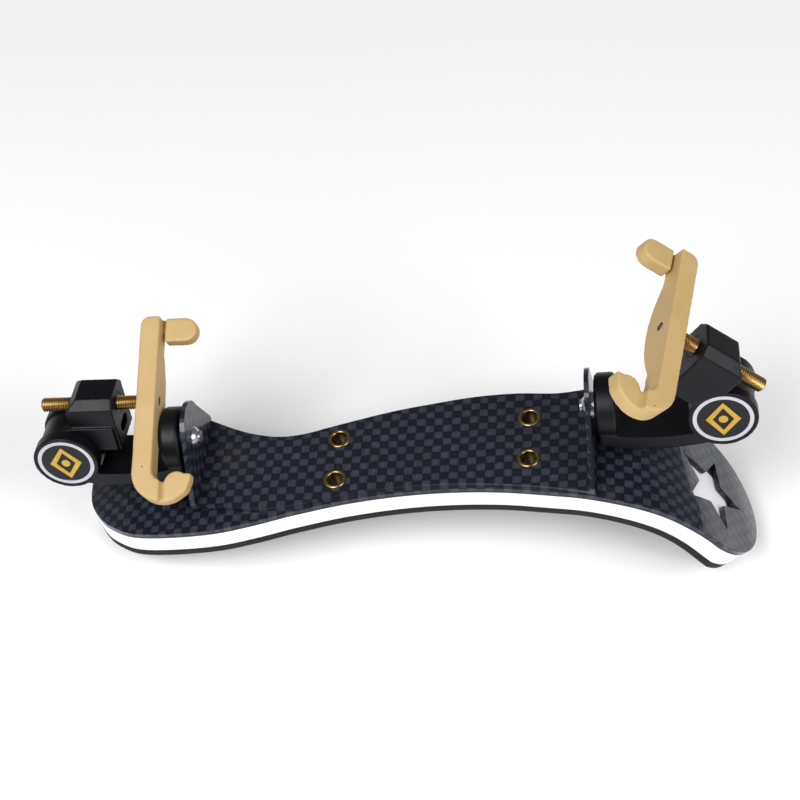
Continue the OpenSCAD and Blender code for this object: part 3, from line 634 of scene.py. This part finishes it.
def threadTree(material):
    # a rod turned with a thread: a grid rolled round, its radius rising and falling once a pitch
    tree = bpy.data.node_groups.new("threaded rod", "GeometryNodeTree")
    face = tree.interface
    for label in ("Length", "Outer radius", "Thread depth", "Pitch", "Chamfer", "Row"):
        face.new_socket(name=label, in_out="INPUT", socket_type="NodeSocketFloat")
    for label in ("Columns", "Rows"):
        face.new_socket(name=label, in_out="INPUT", socket_type="NodeSocketInt")
    face.new_socket(name="Geometry", in_out="OUTPUT", socket_type="NodeSocketGeometry")
    given = addNode(tree, "NodeGroupInput").outputs
    result = addNode(tree, "NodeGroupOutput")
    # the grid is a row longer than the rod at each end, and its outer rows close the ends
    spare = addNode(tree, "ShaderNodeMath", {"operation": "MULTIPLY_ADD"},
                    {0: given["Row"], 1: 2.0, 2: given["Length"]})
    sheet = addNode(tree, "GeometryNodeMeshGrid", None,
                    {"Size X": 1.0, "Size Y": spare.outputs[0], "Vertices X": given["Columns"],
                     "Vertices Y": given["Rows"]})
    place = addNode(tree, "GeometryNodeInputPosition")
    at = addNode(tree, "ShaderNodeSeparateXYZ", None, {0: place.outputs[0]})
    turn = addNode(tree, "ShaderNodeMath", {"operation": "MULTIPLY"}, {0: at.outputs[0], 1: 2 * math.pi})
    half = addNode(tree, "ShaderNodeMath", {"operation": "MULTIPLY"}, {0: given["Length"], 1: 0.5})
    minusHalf = addNode(tree, "ShaderNodeMath", {"operation": "MULTIPLY"}, {0: given["Length"], 1: -0.5})
    lower = addNode(tree, "ShaderNodeMath", {"operation": "MINIMUM"}, {0: at.outputs[1], 1: half.outputs[0]})
    height = addNode(tree, "ShaderNodeMath", {"operation": "MAXIMUM"},
                     {0: lower.outputs[0], 1: minusHalf.outputs[0]})
    # distance to the nearer end
    size = addNode(tree, "ShaderNodeMath", {"operation": "ABSOLUTE"}, {0: height.outputs[0]})
    toEnd = addNode(tree, "ShaderNodeMath", {"operation": "SUBTRACT"},
                    {0: half.outputs[0], 1: size.outputs[0]})
    # thread: a zigzag once a pitch, carried on round the turn
    climb = addNode(tree, "ShaderNodeMath", {"operation": "MULTIPLY_ADD"},
                    {0: at.outputs[0], 1: given["Pitch"], 2: height.outputs[0]})
    inPitch = addNode(tree, "ShaderNodeMath", {"operation": "DIVIDE"},
                      {0: climb.outputs[0], 1: given["Pitch"]})
    zigzag = addNode(tree, "ShaderNodeMath", {"operation": "PINGPONG"}, {0: inPitch.outputs[0], 1: 0.5})
    crest = addNode(tree, "ShaderNodeMapRange", None,
                    {0: zigzag.outputs[0], 1: 0.06, 2: 0.44, 3: 0.0, 4: 1.0})
    under = addNode(tree, "ShaderNodeMath", {"operation": "MULTIPLY"},
                    {0: crest.outputs[0], 1: given["Thread depth"]})
    cut = addNode(tree, "ShaderNodeMath", {"operation": "SUBTRACT"},
                  {0: given["Outer radius"], 1: under.outputs[0]})
    # chamfered ends
    slope = addNode(tree, "ShaderNodeMath", {"operation": "SUBTRACT"},
                    {0: given["Outer radius"], 1: given["Chamfer"]})
    cone = addNode(tree, "ShaderNodeMath", {"operation": "ADD"}, {0: slope.outputs[0], 1: toEnd.outputs[0]})
    body = addNode(tree, "ShaderNodeMath", {"operation": "MINIMUM"}, {0: cut.outputs[0], 1: cone.outputs[0]})
    # the outermost rows draw in to the axis
    fromMiddle = addNode(tree, "ShaderNodeMath", {"operation": "ABSOLUTE"}, {0: at.outputs[1]})
    beyond = addNode(tree, "ShaderNodeMath", {"operation": "SUBTRACT"},
                     {0: fromMiddle.outputs[0], 1: half.outputs[0]})
    past = addNode(tree, "ShaderNodeMath", {"operation": "DIVIDE"}, {0: beyond.outputs[0], 1: given["Row"]})
    inside = addNode(tree, "ShaderNodeMath", {"operation": "LESS_THAN"}, {0: past.outputs[0], 1: 0.5})
    radius = addNode(tree, "ShaderNodeMath", {"operation": "MULTIPLY"},
                     {0: body.outputs[0], 1: inside.outputs[0]})
    cosTurn = addNode(tree, "ShaderNodeMath", {"operation": "COSINE"}, {0: turn.outputs[0]})
    sinTurn = addNode(tree, "ShaderNodeMath", {"operation": "SINE"}, {0: turn.outputs[0]})
    x = addNode(tree, "ShaderNodeMath", {"operation": "MULTIPLY"},
                {0: radius.outputs[0], 1: cosTurn.outputs[0]})
    y = addNode(tree, "ShaderNodeMath", {"operation": "MULTIPLY"},
                {0: radius.outputs[0], 1: sinTurn.outputs[0]})
    rolled = addNode(tree, "ShaderNodeCombineXYZ", None,
                     {0: x.outputs[0], 1: y.outputs[0], 2: height.outputs[0]})
    moved = addNode(tree, "GeometryNodeSetPosition", None,
                    {"Geometry": sheet.outputs[0], "Position": rolled.outputs[0]})
    joined = addNode(tree, "GeometryNodeMergeByDistance", None,
                     {"Geometry": moved.outputs[0], "Distance": rod["closeEnds"]})
    real = addNode(tree, "GeometryNodeRealizeInstances", None, {0: joined.outputs[0]})
    coloured = addNode(tree, "GeometryNodeSetMaterial", None,
                       {"Geometry": real.outputs[0], "Material": material})
    tree.links.new(coloured.outputs[0], result.inputs[0])
    return tree


turnedBrass = brass("turned brass thread", rodLook)
threads = threadTree(turnedBrass)
for side in sides:
    joint = joints[f"{side}_fork_turn"]
    axis = Vector(joint["axis"]).normalized()
    anchor = Vector(joint["pos_m"])
    along = [(v.co - anchor).dot(axis) for v in nodes[f"{side}_rod"].data.vertices]
    length, middle = max(along) - min(along), (max(along) + min(along)) / 2
    row = rod["pitch"] * mm / rod["rowsPerPitch"]
    rowCount = round(length / row)
    row = length / rowCount
    threaded = bpy.data.objects.new(f"{side}_rod_threaded", bpy.data.meshes.new(f"{side}_rod_threaded"))
    bpy.context.scene.collection.objects.link(threaded)
    build = threaded.modifiers.new("thread", "NODES")
    build.node_group = threads
    values = {"Length": length, "Outer radius": rod["outer"] * mm, "Thread depth": rod["depth"] * mm,
              "Pitch": rod["pitch"] * mm, "Chamfer": rod["chamfer"] * mm, "Row": row,
              "Columns": rod["columns"] + 1, "Rows": rowCount + 3}
    for item in threads.interface.items_tree:
        if item.in_out == "INPUT":
            build[item.identifier] = values[item.name]
    bakeModifiers(threaded)
    shape = bmesh.new()
    shape.from_mesh(threaded.data)
    bmesh.ops.recalc_face_normals(shape, faces=shape.faces)
    turned = axis.to_track_quat("Z", "Y").to_matrix().to_4x4()
    shape.transform(Matrix.Translation(anchor + middle * axis) @ turned)
    shape.to_mesh(threaded.data)
    shape.free()
    threaded.data.shade_smooth()
    threaded.data.set_sharp_from_angle(angle=meshing["crispThread"])
    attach(threaded, f"{side}_rod")
    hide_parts(f"{side}_rod")
print("threaded rods done")


fork = {
    "voxel": 0.33,
    "passes": 26,
    "pitEvery": 6.5,
    "pitWide": 0.045,  # in pit spacings
    "pitDepth": 0.2,
    "pitShadeTone": "#7a5c30",
}
forkLook = {"patch": 12, "tones": ("#b9985f", "#c9ad7a"), "gloss": (0.46, 0.6), "grain": 0.45, "strength": 0.22,
            "depth": 0.04}


def mouldedRubber():
    # Cast polyurethane rubber: even tan, satin, with a cast skin's slight unevenness.
    # Here and there is the small pit that a trapped air bubble leaves, about 0.5 mm wide, with painted shade
    # darkening its hollow.
    material, tree, shader = startMaterial("cast tan rubber", {"IOR": 1.48})
    coords = objectCoords(tree)
    tone, bump = setFinish(tree, shader, coords, forkLook)
    bubbles = addNode(tree, "ShaderNodeTexVoronoi", {"feature": "F1"},
                      {"Vector": coords, "Scale": 1 / (fork["pitEvery"] * mm), "Randomness": 1.0})
    pits = addNode(tree, "ShaderNodeMapRange", {"interpolation_type": "SMOOTHSTEP"},
                   {0: bubbles.outputs[0], 1: fork["pitWide"] * 0.6, 2: fork["pitWide"] * 1.4, 3: 0.0, 4: 1.0})
    # painted shade: the colour darkens inside each pit
    dark = addNode(tree, "ShaderNodeMix", {"data_type": "RGBA"},
                   {0: pits.outputs[0], 6: toLinear(fork["pitShadeTone"]), 7: tone.outputs[2]})
    sunk = addNode(tree, "ShaderNodeBump", None,
                   {"Height": pits.outputs[0], "Strength": 0.7, "Distance": fork["pitDepth"] * mm,
                    "Normal": bump.outputs[0]})
    tree.links.new(dark.outputs[2], shader.inputs["Base Color"])
    tree.links.new(sunk.outputs[0], shader.inputs["Normal"])
    return material


rubber = mouldedRubber()
for side in sides:
    cast = roundedCopy(f"{side}_fork_rubber", f"{side}_fork_cast", fork["voxel"], fork["passes"])
    setMaterial(cast, rubber)
    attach(cast, f"{side}_fork")
    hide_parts(f"{side}_fork_rubber")
print("forks done")


studio = {
    "floorTones": ("#f4f4f5", "#fbfbfc"),
    "floorSize": 3.0,
    "world": "#ffffff",
    "worldStrength": 0.16,
    "aim": Vector((0, 0, 30)) * mm,
    # name, place, size and power of each soft light
    "lights": (
        ("key", (-0.55, -0.75, 1.15), 0.9, 19.0),
        ("fill", (0.95, -0.55, 0.85), 0.8, 10.5),
    ),
}
floorMesh = bpy.data.meshes.new("floor")
reach = studio["floorSize"] / 2
ground = cadBox[0].z
floorMesh.from_pydata([(-reach, -reach, ground), (reach, -reach, ground), (reach, reach, ground),
                       (-reach, reach, ground)], [], [(0, 1, 2, 3)])
floor = bpy.data.objects.new("floor", floorMesh)
bpy.context.scene.collection.objects.link(floor)
paper, tree, shader = startMaterial("matt paper backdrop", {
    "Roughness": 0.9, "Specular IOR Level": 0.2, "Emission Color": (1, 1, 1, 1), "Emission Strength": 0.08})
cloud = addNode(tree, "ShaderNodeTexNoise", None, {"Vector": objectCoords(tree), "Scale": 3.0, "Detail": 2.0})
tint = addNode(tree, "ShaderNodeMix", {"data_type": "RGBA"},
               {0: cloud.outputs[0], 6: toLinear(studio["floorTones"][0]),
                7: toLinear(studio["floorTones"][1])})
tree.links.new(tint.outputs[2], shader.inputs["Base Color"])
setMaterial(floor, paper)

world = bpy.data.worlds.new("studio")
world.use_nodes = True
sky = next(n for n in world.node_tree.nodes if n.type == "BACKGROUND")
sky.inputs["Color"].default_value = toLinear(studio["world"])
sky.inputs["Strength"].default_value = studio["worldStrength"]
bpy.context.scene.world = world
for name, spot, size, power in studio["lights"]:
    lamp = bpy.data.lights.new(name, "AREA")
    lamp.shape = "DISK"
    lamp.size = size
    lamp.energy = power
    holder = bpy.data.objects.new(name, lamp)
    holder.location = spot
    holder.rotation_euler = (studio["aim"] - Vector(spot)).to_track_quat("-Z", "Y").to_euler()
    bpy.context.scene.collection.objects.link(holder)
bpy.context.scene.view_settings.view_transform = "Standard"

view = {
    "place": Vector((46.3, -354.3, 495.1)) * mm,
    "right": Vector((0.99651, 0.06976, -0.04578)),
    "up": Vector((-0.02458, 0.76974, 0.63790)),
    "lens": 76.5,
    "sensor": 36.0,
    "nearest": 0.01,
}
cameraData = bpy.data.cameras.new("camera")
cameraData.lens = view["lens"]
cameraData.sensor_width = view["sensor"]
cameraData.clip_start = view["nearest"]
camera = bpy.data.objects.new("camera", cameraData)
bpy.context.scene.collection.objects.link(camera)
backward = view["right"].cross(view["up"]).normalized()
upward = backward.cross(view["right"]).normalized()
turn = Matrix((view["right"].normalized(), upward, backward)).transposed().to_4x4()
camera.matrix_world = Matrix.Translation(view["place"]) @ turn
bpy.context.scene.camera = camera
print("studio done")
